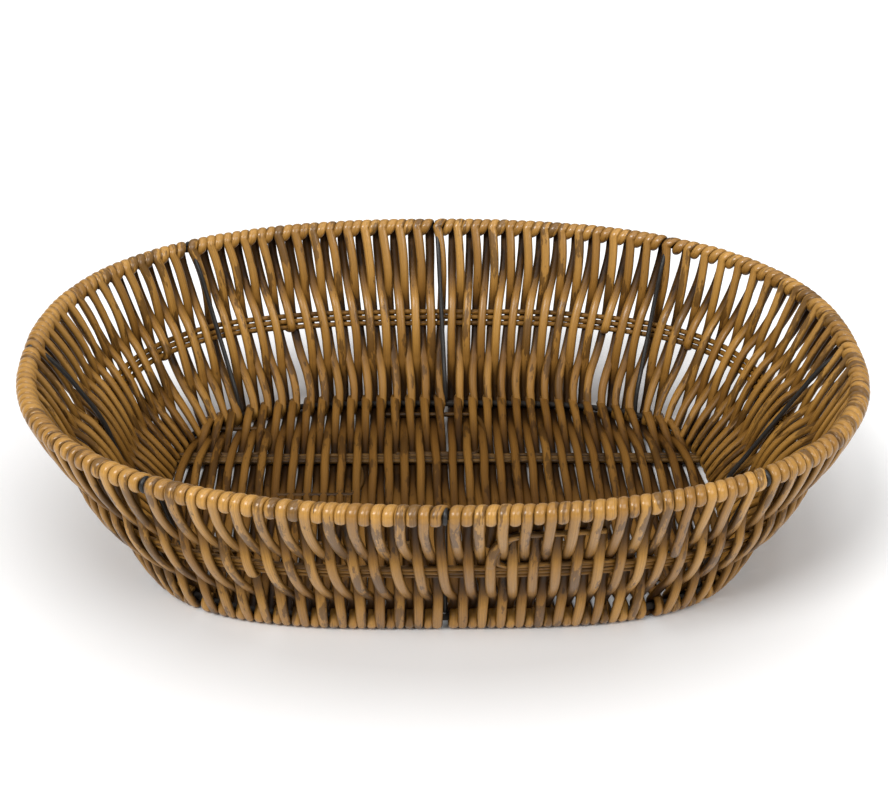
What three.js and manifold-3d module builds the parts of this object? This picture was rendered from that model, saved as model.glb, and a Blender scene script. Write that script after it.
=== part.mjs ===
// An oval woven basket with sides that flare outwards: a skin of flat strands, woven over a frame of steel
// wire. Millimetres, +Z up. The long side runs along X, and the origin lies on the floor under the middle.

import * as THREE from 'three';
import { mergeVertices } from 'three/addons/utils/BufferGeometryUtils.js';
import Module from 'manifold-3d';

// The wall passes through three ovals, each measured to the middle of the wire or band that follows it.
// A squareness of 2 is an ellipse, and a larger one fills the corners more.
const rim = { halfLength: 195, halfWidth: 149, squareness: 2.37 };
const waist = { halfLength: 167, halfWidth: 125, squareness: 3.0 };
const foot = { halfLength: 141, halfWidth: 101, squareness: 3.4 };
const wireRise = 83.5; // foot wire to rim wire
const waistDrop = 43; // rim wire to the middle of the waist band

// The steel frame.
const rimWireRadius = 1.6;
const footWireRadius = 1.6;
const ribRadius = 1.2;
const cornerRibAtRim = 132; // along the rim, from the middle of a long side
const cornerRibAtFoot = 114; // the same, along the foot

// The woven skin. Its strands turn around both wires, and lie on both faces of the band and the bars.
const rimWrapRadius = 4.7;
const footWrapRadius = 5.2;
const wallThickness = 6.6;
const floorThickness = 9.4;

// Three strands side by side make the band around the waist, and three make each bar under the floor.
const bandStrandRadius = 1.3;
const bandStrandGap = 0.1; // between neighbouring strands of the band, which bear on each other
const barStrandRadius = 1.3;
const barOffset = 42; // middle of the floor to the middle of a bar
const strandsSideBySide = [-1, 0, 1];

// Neighbouring pieces keep this much air between their faces.
const clearance = 0.3;

const sectionCount = 8; // wall sections, with a rib in the gap after each
const stepsPerSection = 8;
const faceFalls = [0.1, 0.2, 0.3, 0.4, 0.5, 0.6, 0.7, 0.8, 0.9]; // stations down the wall
const wireSides = 8;
const strandSides = 6;

const bandStrandRise = 2 * bandStrandRadius + bandStrandGap; // from one strand to the next, upwards
const barStrandPitch = 2 * barStrandRadius + clearance;
const footWireHeight = footWrapRadius;
const rimWireHeight = footWireHeight + wireRise;
const lean = Math.atan2(rim.halfWidth - foot.halfWidth, wireRise);
const levelThickness = wallThickness / Math.cos(lean); // the wall's thickness, measured level
const bandFall = bandStrandRise / wireRise; // from one band strand to the next, as a share of the rise

const wireSteel = new THREE.MeshStandardMaterial({ color: 0x15130f, roughness: 0.45, metalness: 0.6 });
const paleStrand = new THREE.MeshStandardMaterial({ color: 0xb08240, roughness: 0.5, metalness: 0 });
const darkStrand = new THREE.MeshStandardMaterial({ color: 0x6e4d26, roughness: 0.55, metalness: 0 });

const wasm = await Module();
wasm.setup();

// A value that is `top` at the rim, `middle` at the waist and `bottom` at the foot, on one parabola.
function throughThree(top, middle, bottom, fall) {
  const at = waistDrop / wireRise;
  const curve = (middle - top - (bottom - top) * at) / (at * at - at);
  return top + (bottom - top - curve) * fall + curve * fall * fall;
}

// The oval at a fall of 0 (rim wire) to 1 (foot wire), with the arc length at each of its samples.
const ovals = new Map();
function ovalAt(fall) {
  if (!ovals.has(fall)) {
    const halfLength = throughThree(rim.halfLength, waist.halfLength, foot.halfLength, fall);
    const halfWidth = throughThree(rim.halfWidth, waist.halfWidth, foot.halfWidth, fall);
    const squareness = throughThree(rim.squareness, waist.squareness, foot.squareness, fall);
    const points = [];
    const arcs = [0];
    const samples = 1440;
    for (let i = 0; i <= samples; i += 1) {
      const angle = (2 * Math.PI * i) / samples;
      const across = Math.abs(Math.cos(angle) / halfLength) ** squareness;
      const along = Math.abs(Math.sin(angle) / halfWidth) ** squareness;
      const reach = (across + along) ** (-1 / squareness);
      points.push(new THREE.Vector2(reach * Math.cos(angle), reach * Math.sin(angle)));
      if (i > 0) {
        arcs.push(arcs[i - 1] + points[i].distanceTo(points[i - 1]));
      }
    }
    ovals.set(fall, { points, arcs, length: arcs[samples] });
  }
  return ovals.get(fall);
}

// The point `arc` along an oval from its +X end, seen from above anticlockwise, and its outward normal.
function pointOnOval(oval, arc) {
  const wanted = ((arc % oval.length) + oval.length) % oval.length;
  let next = 1;
  while (oval.arcs[next] < wanted) {
    next += 1;
  }
  const from = oval.points[next - 1];
  const to = oval.points[next];
  const share = (wanted - oval.arcs[next - 1]) / (oval.arcs[next] - oval.arcs[next - 1]);
  const point = from.clone().lerp(to, share);
  const normal = new THREE.Vector2(to.y - from.y, from.x - to.x).normalize();
  return { point, normal };
}

// Where rib number `rib` crosses the oval at this fall. Ribs 0, 2, 4 and 6 stand in the middles of the
// ends and sides, and the others beside the corners.
function ribArc(rib, fall) {
  const { length } = ovalAt(fall);
  const corner = THREE.MathUtils.lerp(cornerRibAtRim, cornerRibAtFoot, fall);
  const fromSide = [-length / 4, -corner, 0, corner][rib % 4];
  const side = length / 4 + (length / 2) * Math.floor(rib / 4);
  return side + fromSide;
}

// The most that a rib leans.
function steepestLean() {
  const spans = Array.from({ length: sectionCount }, (_, rib) => {
    const top = pointOnOval(ovalAt(0), ribArc(rib, 0)).point;
    return top.distanceTo(pointOnOval(ovalAt(1), ribArc(rib, 1)).point);
  });
  return Math.atan2(Math.max(...spans), wireRise);
}

const ribRoom = (ribRadius + 1.5 * clearance) / Math.cos(steepestLean()); // a leaning rib is wider, cut level
const ribGap = 2 * ribRoom;

// How far a leaning rib moves along the wall on its way up from the oval at this fall.
function ribDrift(rib, fall, up) {
  const level = THREE.MathUtils.clamp(fall - up / wireRise, 0, 1);
  const { point, normal } = pointOnOval(ovalAt(fall), ribArc(rib, fall));
  const above = pointOnOval(ovalAt(level), ribArc(rib, level)).point;
  return above.sub(point).dot(new THREE.Vector2(-normal.y, normal.x));
}

// A point of the wall: `share` of the way through a section, moved outwards and upwards from the oval.
// Both ends of a section keep beside their ribs.
function wallPoint(section, share, { fall, out, up }) {
  const next = (section + 1) % sectionCount;
  const lap = next === 0 ? ovalAt(fall).length : 0;
  const start = ribArc(section, fall) + ribDrift(section, fall, up) + ribGap / 2;
  const end = ribArc(next, fall) + lap + ribDrift(next, fall, up) - ribGap / 2;
  const { point, normal } = pointOnOval(ovalAt(fall), THREE.MathUtils.lerp(start, end, share));
  const height = rimWireHeight - fall * wireRise + up;
  return new THREE.Vector3(point.x + normal.x * out, point.y + normal.y * out, height);
}

// Points on an arc around the oval at this fall, anticlockwise from one angle to another, in degrees.
function arcPoints(fall, radius, fromAngle, toAngle, count) {
  const points = [];
  for (let i = 0; i < count; i += 1) {
    const angle = THREE.MathUtils.degToRad(fromAngle + ((toAngle - fromAngle) * i) / (count - 1));
    points.push({ fall, out: radius * Math.cos(angle), up: radius * Math.sin(angle) });
  }
  return points;
}

function circlePoints(fall, radius, sides) {
  return arcPoints(fall, radius, 0, 360 * (1 - 1 / sides), sides);
}

// The side faces of a sweep: each loop of points joined to the same loop at the next station.
function sideFaces(rings, loopSizes, closed) {
  const faces = [];
  const ringSize = loopSizes.reduce((sum, size) => sum + size, 0);
  const spans = closed ? rings : rings - 1;
  for (let ring = 0; ring < spans; ring += 1) {
    const here = ring * ringSize;
    const there = ((ring + 1) % rings) * ringSize;
    let first = 0;
    for (const size of loopSizes) {
      for (let i = 0; i < size; i += 1) {
        const a = first + i;
        const b = first + ((i + 1) % size);
        faces.push(here + a, there + a, there + b);
        faces.push(here + a, there + b, here + b);
      }
      first += size;
    }
  }
  return faces;
}

// The flat end of a sweep: the outer loop less its holes, in the plane across the wall.
function endFaces(ringPoints, loopSizes, offset, facingBack) {
  const origin = ringPoints[0];
  const across = outwardDirection(ringPoints);
  const flat = ringPoints.map((p) => new THREE.Vector2(p.clone().sub(origin).dot(across), p.z));
  const loops = [];
  let first = 0;
  for (const size of loopSizes) {
    loops.push(flat.slice(first, first + size));
    first += size;
  }
  const faces = [];
  for (const [a, b, c] of THREE.ShapeUtils.triangulateShape(loops[0], loops.slice(1))) {
    const anticlockwise = THREE.ShapeUtils.area([flat[a], flat[b], flat[c]]) > 0;
    const order = anticlockwise === facingBack ? [a, b, c] : [a, c, b];
    faces.push(...order.map((i) => i + offset));
  }
  return faces;
}

// The level direction in which a ring of points spreads most, pointing away from the basket's middle.
function outwardDirection(ringPoints) {
  const middle = ringPoints.reduce((sum, p) => sum.add(p), new THREE.Vector3()).divideScalar(ringPoints.length);
  let widest = new THREE.Vector3();
  for (const p of ringPoints) {
    const spread = p.clone().sub(middle).setZ(0);
    if (spread.length() > widest.length()) {
      widest = spread;
    }
  }
  const outwards = widest.dot(middle.clone().setZ(0)) > 0 ? 1 : -1;
  return widest.normalize().multiplyScalar(outwards);
}

function geometryFrom(points, faces) {
  const geometry = new THREE.BufferGeometry().setFromPoints(points);
  geometry.setIndex(faces);
  geometry.computeVertexNormals();
  return geometry;
}

// One section of the wall: the loops of its outline swept from rib to rib.
function sweepSection(section, loops) {
  const ringPoints = loops.flat();
  const loopSizes = loops.map((loop) => loop.length);
  const points = [];
  for (let step = 0; step <= stepsPerSection; step += 1) {
    points.push(...ringPoints.map((p) => wallPoint(section, step / stepsPerSection, p)));
  }
  const last = points.length - ringPoints.length;
  const faces = sideFaces(stepsPerSection + 1, loopSizes, false);
  faces.push(...endFaces(points.slice(0, ringPoints.length), loopSizes, 0, true));
  faces.push(...endFaces(points.slice(last), loopSizes, last, false));
  return geometryFrom(points, faces);
}

// A ring of wire or strand all the way round, with the same stations as the wall sections.
function sweepRing(loop) {
  const points = [];
  for (let section = 0; section < sectionCount; section += 1) {
    for (let step = 0; step <= stepsPerSection; step += 1) {
      points.push(...loop.map((p) => wallPoint(section, step / stepsPerSection, p)));
    }
  }
  const faces = sideFaces(sectionCount * (stepsPerSection + 1), [loop.length], true);
  return geometryFrom(points, faces);
}

// A hole for a wire or strand: flats parallel to its own, the clearance away.
function boreRadius(radius, sides) {
  return radius + clearance / Math.cos(Math.PI / sides);
}

function bandFallAt(strand) {
  return waistDrop / wireRise + strand * bandFall;
}

// The wall's outline, from the wrap around the rim wire to the wrap around the foot wire, and its holes.
function wallLoops() {
  const half = levelThickness / 2;
  const innerFace = faceFalls.map((fall) => ({ fall, out: -half, up: 0 }));
  const outerFace = faceFalls.map((fall) => ({ fall, out: half, up: 0 })).reverse();
  const wrapSteps = 10;
  const opening = THREE.MathUtils.radToDeg(Math.asin(wallThickness / 2 / rimWrapRadius));
  const leanAngle = THREE.MathUtils.radToDeg(lean);
  const wallAngle = 270 - leanAngle; // the way the wall leaves the rim
  const footOpening = THREE.MathUtils.radToDeg(Math.asin(wallThickness / 2 / footWrapRadius));
  const rimWrap = arcPoints(0, rimWrapRadius, wallAngle + opening - 360, wallAngle - opening, wrapSteps);
  const footWrap = arcPoints(
    1, footWrapRadius, wallAngle - 180 + footOpening, wallAngle + 180 - footOpening, wrapSteps,
  );
  const outline = [...rimWrap, ...innerFace, ...footWrap, ...outerFace];

  const rimBore = circlePoints(0, boreRadius(rimWireRadius, wireSides), wireSides).reverse();
  const footBore = circlePoints(1, boreRadius(footWireRadius, wireSides), wireSides).reverse();
  const slotSteps = 4;
  const slotRadius = boreRadius(bandStrandRadius, 2 * (slotSteps - 1));
  const bandSlot = [
    ...arcPoints(bandFallAt(1), slotRadius, 180 - leanAngle, 360 - leanAngle, slotSteps),
    ...arcPoints(bandFallAt(-1), slotRadius, -leanAngle, 180 - leanAngle, slotSteps),
  ].reverse();
  return [outline, rimBore, footBore, bandSlot];
}

// The middle of a rib at this fall, moved outwards.
function ribPoint(rib, fall, out) {
  const { point, normal } = pointOnOval(ovalAt(fall), ribArc(rib, fall));
  const height = rimWireHeight - fall * wireRise;
  return new THREE.Vector3(point.x + normal.x * out, point.y + normal.y * out, height);
}

// The fall at which a rib ends beside a wire: rim wire 0, foot wire 1.
function ribEndFall(rib, wireFall, wireRadius) {
  const onward = wireFall === 0 ? 0.02 : -0.02;
  const length = ribPoint(rib, wireFall, 0).distanceTo(ribPoint(rib, wireFall + onward, 0));
  return wireFall + (onward * (wireRadius + 2 * clearance)) / length;
}

// A rib leaves the rim wire in the gap between two wall sections, runs down the inside of the wall and
// turns back to the foot wire.
function ribGeometry(rib) {
  const inset = levelThickness / 2 + ribRoom;
  const points = faceFalls.map((fall) => ribPoint(rib, fall, -inset * Math.sin(Math.PI * fall) ** 0.7));
  points.unshift(ribPoint(rib, ribEndFall(rib, 0, rimWireRadius), 0));
  points.push(ribPoint(rib, ribEndFall(rib, 1, footWireRadius), 0));
  const section = new THREE.Shape().absarc(0, 0, ribRadius, 0, 2 * Math.PI);
  return new THREE.ExtrudeGeometry(section, {
    steps: 12,
    curveSegments: wireSides,
    extrudePath: new THREE.CatmullRomCurve3(points),
  });
}

// The floor's outline: the foot wire's oval, moved in past the wraps around it.
function floorOutline() {
  const inset = footWrapRadius + 1.5 * clearance;
  const outline = [];
  for (let section = 0; section < sectionCount; section += 1) {
    for (let step = 0; step <= stepsPerSection; step += 1) {
      const { x, y } = wallPoint(section, step / stepsPerSection, { fall: 1, out: -inset, up: 0 });
      outline.push(new THREE.Vector2(x, y));
    }
  }
  return outline;
}

// Half the length of a straight strand at this distance from the middle, up to the floor's outline.
function halfReach(y) {
  const outline = floorOutline();
  let reach = 0;
  outline.forEach((from, i) => {
    const to = outline[(i + 1) % outline.length];
    if ((from.y - y) * (to.y - y) <= 0 && from.y !== to.y) {
      reach = Math.max(reach, from.x + ((to.x - from.x) * (y - from.y)) / (to.y - from.y));
    }
  });
  return reach;
}

function barStrands() {
  return [barOffset, -barOffset].flatMap((middle) => (
    strandsSideBySide.map((place) => middle + place * barStrandPitch)
  ));
}

// A straight strand along X at mid-floor height, and the same shape a little fatter for its tunnel.
function barGeometry(y, radius, halfLength) {
  const geometry = new THREE.CylinderGeometry(radius, radius, 2 * halfLength, strandSides);
  geometry.rotateZ(Math.PI / 2);
  geometry.translate(0, y, floorThickness / 2);
  return geometry;
}

function toSolid(geometry) {
  const bare = geometry.clone();
  bare.deleteAttribute('normal');
  bare.deleteAttribute('uv');
  const merged = mergeVertices(bare, 1e-4);
  return new wasm.Manifold(new wasm.Mesh({
    numProp: 3,
    vertProperties: new Float32Array(merged.attributes.position.array),
    triVerts: new Uint32Array(merged.index.array),
  }));
}

function fromSolid(solid) {
  const mesh = solid.getMesh();
  const geometry = new THREE.BufferGeometry();
  geometry.setAttribute('position', new THREE.BufferAttribute(mesh.vertProperties, 3));
  geometry.setIndex(new THREE.BufferAttribute(mesh.triVerts, 1));
  geometry.computeVertexNormals();
  return geometry;
}

// The floor: a slab with a tunnel for each strand of its bars.
function floorGeometry() {
  const slab = new THREE.ExtrudeGeometry(new THREE.Shape(floorOutline()), {
    depth: floorThickness,
    bevelEnabled: false,
  });
  let solid = toSolid(slab);
  for (const y of barStrands()) {
    const tunnel = barGeometry(y, boreRadius(barStrandRadius, strandSides), foot.halfLength);
    solid = solid.subtract(toSolid(tunnel));
  }
  return fromSolid(solid);
}

const group = new THREE.Group();

function addPiece(name, geometry, material) {
  const mesh = new THREE.Mesh(geometry, material.clone());
  mesh.name = name;
  group.add(mesh);
}

addPiece('rim_wire', sweepRing(circlePoints(0, rimWireRadius, wireSides)), wireSteel);
addPiece('foot_wire', sweepRing(circlePoints(1, footWireRadius, wireSides)), wireSteel);

for (let rib = 0; rib < sectionCount; rib += 1) {
  addPiece(`rib_${rib + 1}`, ribGeometry(rib), wireSteel);
}

strandsSideBySide.forEach((place, i) => {
  const loop = circlePoints(bandFallAt(place), bandStrandRadius, strandSides);
  addPiece(`band_strand_${i + 1}`, sweepRing(loop), darkStrand);
});

barStrands().forEach((y, i) => {
  addPiece(`bar_strand_${i + 1}`, barGeometry(y, barStrandRadius, halfReach(y)), darkStrand);
});

for (let section = 0; section < sectionCount; section += 1) {
  addPiece(`side_weave_${section + 1}`, sweepSection(section, wallLoops()), paleStrand);
}

addPiece('floor_weave', floorGeometry(), darkStrand);

export default group;
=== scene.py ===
import math
import bpy
import numpy as np
from mathutils import Matrix, Vector


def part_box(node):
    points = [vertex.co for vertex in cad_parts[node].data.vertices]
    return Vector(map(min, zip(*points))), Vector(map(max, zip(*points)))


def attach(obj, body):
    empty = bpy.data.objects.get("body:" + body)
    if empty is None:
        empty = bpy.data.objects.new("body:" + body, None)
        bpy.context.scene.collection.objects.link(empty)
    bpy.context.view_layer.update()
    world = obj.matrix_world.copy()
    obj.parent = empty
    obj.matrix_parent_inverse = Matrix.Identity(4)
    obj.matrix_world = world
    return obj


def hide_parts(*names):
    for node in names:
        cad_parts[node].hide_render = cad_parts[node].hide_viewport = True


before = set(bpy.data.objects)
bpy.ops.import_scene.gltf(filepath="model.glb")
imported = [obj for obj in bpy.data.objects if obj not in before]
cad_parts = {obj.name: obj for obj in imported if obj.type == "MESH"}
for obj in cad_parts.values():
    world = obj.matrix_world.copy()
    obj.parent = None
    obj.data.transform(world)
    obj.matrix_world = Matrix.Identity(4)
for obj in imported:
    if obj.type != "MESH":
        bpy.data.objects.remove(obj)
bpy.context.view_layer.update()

dice = np.random.default_rng(41)
mm = 0.001


# sizes are in millimetres up to the meshes. The wires and the waist band give the wall's three ovals:
# half of a node's box, less the radius of its wire, and the height of its middle
def halfSize(node, radius):
    low, high = (np.array(corner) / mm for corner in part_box(node))
    half = (high - low) / 2 - radius
    return half[0], half[1], (high[2] + low[2]) / 2


wall = {
    "wireRadius": 1.6,
    "ribRadius": 1.2,
    "bandRadius": 1.3,
    "squareness": (2.37, 3.0, 3.4),   # how full the corners are at the rim, waist and foot
    "cornerRibAtRim": 132.0,          # from the middle of a long side
    "cornerRibAtFoot": 114.0,
    "ribShiftsAtRim": (0, 4.5, 0, 5, 0, 0, -3.1, 6, 0),     # how far each rib stands off its even place
    "ribShiftsAtFoot": (0, 5.5, -4.4, -5.5, 0, 0, -1, 7, 0),
    "ribGap": 3.0,                    # room that the strands leave for a rib
    "slots": (28, 26, 28, 28, 28, 26, 28, 28),        # places for strands between two ribs
    "levels": 81,                     # rows and columns of the table of wall points
    "samples": 1440,
    "angles": 2881,
}
rimSize = halfSize("rim_wire", wall["wireRadius"])
waistSize = halfSize("band_strand_2", wall["bandRadius"])
footSize = halfSize("foot_wire", wall["wireRadius"])
rise = rimSize[2] - footSize[2]
waistFall = (rimSize[2] - waistSize[2]) / rise


# the parabola through the values at the rim (fall 0), the waist and the foot (fall 1)
def throughThree(values, fall):
    top, middle, bottom = values
    bend = (middle - top - (bottom - top) * waistFall) / (waistFall ** 2 - waistFall)
    return top + (bottom - top - bend) * fall + bend * fall ** 2


# superellipses |x/a|^n + |y/b|^n = 1, one for each level, with points at even arc lengths from the +X end
def makeOvals():
    falls = np.linspace(0, 1, wall["levels"])
    angle = np.linspace(0, 2 * np.pi, wall["angles"])
    a, b, n = (throughThree([size[i] for size in (rimSize, waistSize, footSize)], falls)[:, None]
               if i < 2 else throughThree(wall["squareness"], falls)[:, None] for i in range(3))
    reach = (np.abs(np.cos(angle) / a) ** n + np.abs(np.sin(angle) / b) ** n) ** (-1 / n)
    x, y = reach * np.cos(angle), reach * np.sin(angle)
    arc = np.concatenate([np.zeros((len(falls), 1)),
                          np.cumsum(np.hypot(np.diff(x), np.diff(y)), axis=1)], axis=1)
    share = np.linspace(0, 1, wall["samples"] + 1)

    def evenly(row, values):
        return np.interp(share * row[-1], row, values)
    points = np.stack([np.stack([evenly(row, px), evenly(row, py)], -1) for row, px, py in zip(arc, x, y)])
    heights = rimSize[2] - falls * rise
    points = np.concatenate([points, np.broadcast_to(heights[:, None, None], points.shape[:2] + (1,))], -1)
    around = np.gradient(np.concatenate([points[:, -2:-1], points, points[:, 1:2]], 1), axis=1)[:, 1:-1]
    down = np.gradient(points, axis=0)
    outward = np.cross(down, around)
    return {"points": points, "around": around, "outward": outward, "length": arc[:, -1], "falls": falls}


ovals = makeOvals()


# vectors of length 1
def unit(v):
    return v / np.linalg.norm(v, axis=-1, keepdims=True)


# the point at a fall and an arc length, with the way around the oval, the wall's outward normal
# and the way up the wall; each is read from the table between its four nearest samples
def onWall(fall, arc):
    fall, arc = np.broadcast_arrays(np.asarray(fall, float), np.asarray(arc, float))
    level = np.clip(fall, 0, 1) * (wall["levels"] - 1)
    share = (arc / np.interp(fall, ovals["falls"], ovals["length"])) % 1.0 * wall["samples"]
    i = np.minimum(level.astype(int), wall["levels"] - 2)
    j = np.minimum(share.astype(int), wall["samples"] - 1)
    u, v = (level - i)[..., None], (share - j)[..., None]

    def read(table):
        near = table[i, j] * (1 - v) + table[i, j + 1] * v
        far = table[i + 1, j] * (1 - v) + table[i + 1, j + 1] * v
        return near * (1 - u) + far * u
    around, outward = unit(read(ovals["around"])), unit(read(ovals["outward"]))
    return read(ovals["points"]), around, outward, np.cross(outward, around)


# arc length of the place s on a level: 0 to 8 counts the ribs, and what lies between two is shared evenly
ribQuarters = np.array([0, 1, 1, 1, 2, 3, 3, 3, 4])
ribCorners = np.array([0, -1, 0, 1, 0, -1, 0, 1, 0])
ribShiftsAtRim, ribShiftsAtFoot = np.array(wall["ribShiftsAtRim"]), np.array(wall["ribShiftsAtFoot"])


def arcAt(fall, place):
    quarter = np.interp(fall, ovals["falls"], ovals["length"]) / 4
    lap = np.floor(place / 8)
    section = np.clip((place - 8 * lap).astype(int), 0, 7)
    part = place - 8 * lap - section

    down = np.clip(fall, 0, 1)
    corner = wall["cornerRibAtRim"] + (wall["cornerRibAtFoot"] - wall["cornerRibAtRim"]) * down

    def ribArc(rib):
        shift = ribShiftsAtRim[rib] * (1 - down) + ribShiftsAtFoot[rib] * down
        return ribQuarters[rib] * quarter + ribCorners[rib] * corner + shift
    start, end = ribArc(section), ribArc(section + 1)
    return start + (end - start) * part + lap * 4 * quarter


# the places of all strands on one level: even steps between the ribs, less the gap at each rib
def slotPlaces(fall):
    places = []
    for section in range(8):
        count = wall["slots"][section]
        length = float(arcAt(fall, np.array(section + 0.999999)) - arcAt(fall, np.array(float(section))))
        margin = wall["ribGap"] / 2 / length
        places.append(section + margin + (np.arange(count) + 0.5) / count * (1 - 2 * margin))
    return np.concatenate(places)


rimPlaces, footPlaces = slotPlaces(0.0), slotPlaces(1.0)
slotCount = len(rimPlaces)


# the place of any slot number, with whole laps before and after the first
def placeAt(places, slot):
    turns = np.concatenate([places - 8, places, places + 8])
    return np.interp(slot, np.arange(-slotCount, 2 * slotCount), turns)


# a smooth curve through given knots: cubic pieces with slopes taken from each knot's neighbours
def smoothThrough(x, knots, values):
    knots, values = np.array(knots, float), np.array(values, float)
    slopes = np.gradient(values, knots)
    i = np.clip(np.searchsorted(knots, x) - 1, 0, len(knots) - 2)
    width = knots[i + 1] - knots[i]
    t = np.clip((x - knots[i]) / width, 0, 1)
    return ((2 * t ** 3 - 3 * t ** 2 + 1) * values[i] + (t ** 3 - 2 * t ** 2 + t) * width * slopes[i]
            + (3 * t ** 2 - 2 * t ** 3) * values[i + 1] + (t ** 3 - t ** 2) * width * slopes[i + 1])


print("wall:", [round(float(v), 1) for v in rimSize], "foot", [round(float(v), 1) for v in footSize],
      "slots", slotCount)


# a flat oval section |x/w|^n + |y/t|^n = 1 carried along each path; its broad side follows `broad`.
# `lift` is how far a path lies from the middle of the weave, towards the face where up is 1, and `shade` is
# painted shade that darkens what lies low in the basket. Faces turned to the other layer of strands count as
# deep and get painted shade; both go into the `light` attribute
def sweepStrands(name, paths, broads, widths, thicks, seeds, tones, lift=0.0, shade=1.0, closed=False,
                 sides=14, squareness=2.2):
    paths, broads = np.asarray(paths), np.asarray(broads)
    count, steps = paths.shape[:2]
    if closed:
        ahead = np.roll(paths, -1, 1) - np.roll(paths, 1, 1)
    else:
        ahead = np.gradient(paths, axis=1)
    ahead = unit(ahead)
    broad = unit(broads - (broads * ahead).sum(-1, keepdims=True) * ahead)
    thick = np.cross(ahead, broad)
    angle = np.arange(sides) / sides * 2 * np.pi
    across = np.sign(np.cos(angle)) * np.abs(np.cos(angle)) ** (2 / squareness)
    up = np.sign(np.sin(angle)) * np.abs(np.sin(angle)) ** (2 / squareness)
    widths = np.broadcast_to(np.asarray(widths, float), (count, steps))[..., None, None] / 2
    thicks = np.broadcast_to(np.asarray(thicks, float), (count, steps))[..., None, None] / 2
    grid = (paths[:, :, None] + widths * across[:, None] * broad[:, :, None]
            + thicks * up[:, None] * thick[:, :, None])
    points = grid.reshape(-1, 3) * mm
    lift = np.broadcast_to(np.asarray(lift, float), (count, steps))[..., None]
    # painted shade: faces turned to the other layer, and the given `shade`, darken the `light` attribute; a
    # piece with no lift gets the middle value all over
    bare = np.clip(0.5 + 0.5 * np.clip(lift / 3, -1, 1) * up, 0, 1)
    bare = bare ** 2 * (3 - 2 * bare)
    light = (strand["paintedDeepShade"] + (1 - strand["paintedDeepShade"]) * bare)
    light = light * np.broadcast_to(np.asarray(shade, float), (count, steps))[..., None]

    s, k, m = np.meshgrid(np.arange(count), np.arange(steps if closed else steps - 1), np.arange(sides),
                          indexing="ij")
    def index(step, side):
        return (s * steps + step % steps) * sides + side % sides
    quads = np.stack([index(k, m), index(k, m + 1), index(k + 1, m + 1), index(k + 1, m)], -1)
    quads = quads.reshape(-1, 4)
    loops, starts = quads.reshape(-1), np.arange(len(quads)) * 4
    totals = np.full(len(quads), 4)

    # lengths along each strand, for the pattern that follows it
    stepLength = np.linalg.norm(np.diff(paths, axis=1, append=paths[:, :1]), axis=-1)
    along = np.concatenate([np.zeros((count, 1)), np.cumsum(stepLength, axis=1)], 1)
    lengths = np.stack([along[s, k], along[s, k], along[s, k + 1], along[s, k + 1]], -1)
    rounds = np.stack([m, m + 1, m + 1, m], -1) / sides
    uv = np.stack([lengths, rounds], -1).reshape(-1, 2)
    if not closed:
        ends = np.arange(count)[:, None] * steps * sides
        fronts = ends + np.arange(sides)[::-1]
        backs = ends + (steps - 1) * sides + np.arange(sides)
        caps = np.concatenate([fronts, backs])
        starts = np.concatenate([starts, len(loops) + np.arange(len(caps)) * sides])
        totals = np.concatenate([totals, np.full(len(caps), sides)])
        capAlong = np.repeat(np.concatenate([along[:, 0], along[:, steps - 1]]), sides)
        capAround = np.tile(np.arange(sides) / sides, len(caps))
        uv = np.concatenate([uv, np.stack([capAlong, capAround], -1)])
        loops = np.concatenate([loops, caps.reshape(-1)])

    mesh = bpy.data.meshes.new(name)
    mesh.vertices.add(len(points))
    mesh.vertices.foreach_set("co", points.astype(np.float32).ravel())
    mesh.loops.add(len(loops))
    mesh.loops.foreach_set("vertex_index", loops.astype(np.int32))
    mesh.polygons.add(len(starts))
    mesh.polygons.foreach_set("loop_start", starts.astype(np.int32))
    mesh.polygons.foreach_set("loop_total", totals.astype(np.int32))
    mesh.polygons.foreach_set("use_smooth", np.ones(len(starts), bool))
    layer = mesh.uv_layers.new(name="strand")
    layer.data.foreach_set("uv", (uv * [mm, 1]).astype(np.float32).ravel())
    for label, values in (("seed", seeds), ("tone", tones)):
        data = mesh.attributes.new(label, "FLOAT", "POINT")
        data.data.foreach_set("value", np.repeat(np.asarray(values, float), steps * sides).astype(np.float32))
    data = mesh.attributes.new("light", "FLOAT", "POINT")
    data.data.foreach_set("value", light.astype(np.float32).ravel())
    mesh.update(calc_edges=True)
    mesh.validate()
    piece = bpy.data.objects.new(name, mesh)
    bpy.context.collection.objects.link(piece)
    return piece


# slow wander along a strand: three sine waves with random phases, -1 to 1
def wander(count, along, waves):
    phase = dice.uniform(0, 2 * np.pi, (count, 1, 3))
    turns = along[..., None] * np.array(waves) * 2 * np.pi
    return np.sin(turns + phase).mean(-1) * 1.4


strand = {
    "width": 4.7,
    "thickness": 3.2,
    "rimFill": 1.03,         # width of a strand around a wire, as a share of its place
    "footFill": 1.05,
    "inAtFoot": 1.85,        # where, in places, an incoming strand reaches the foot wire
    "tuckedAt": 1.9,         # and where it ends when it is tucked under the wire
    "overShift": 0.2,        # how far strands move on, in places, on their way over the foot wire
    "paintedDeepShade": 0.15,       # painted shade: how bright the faces between the two layers are
    "rimReach": 3.15,        # middle of the rim wire to the middle of a strand around it
    "footReach": 3.6,
    "bandReach": 2.85,       # middle of the band to the middle of a strand over it
    "unevenWidth": 0.04,
    "unevenPlace": 0.3,
    "firstCrossing": 0.35,   # where inner and outer strands change places, as a share of the fall
    "secondCrossing": 0.75,
    "wallSteps": 46,
    "rimSteps": 44,
    "footSteps": 26,
}


quarterSteps = 8             # rows of an outgoing strand under the foot wire


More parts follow.
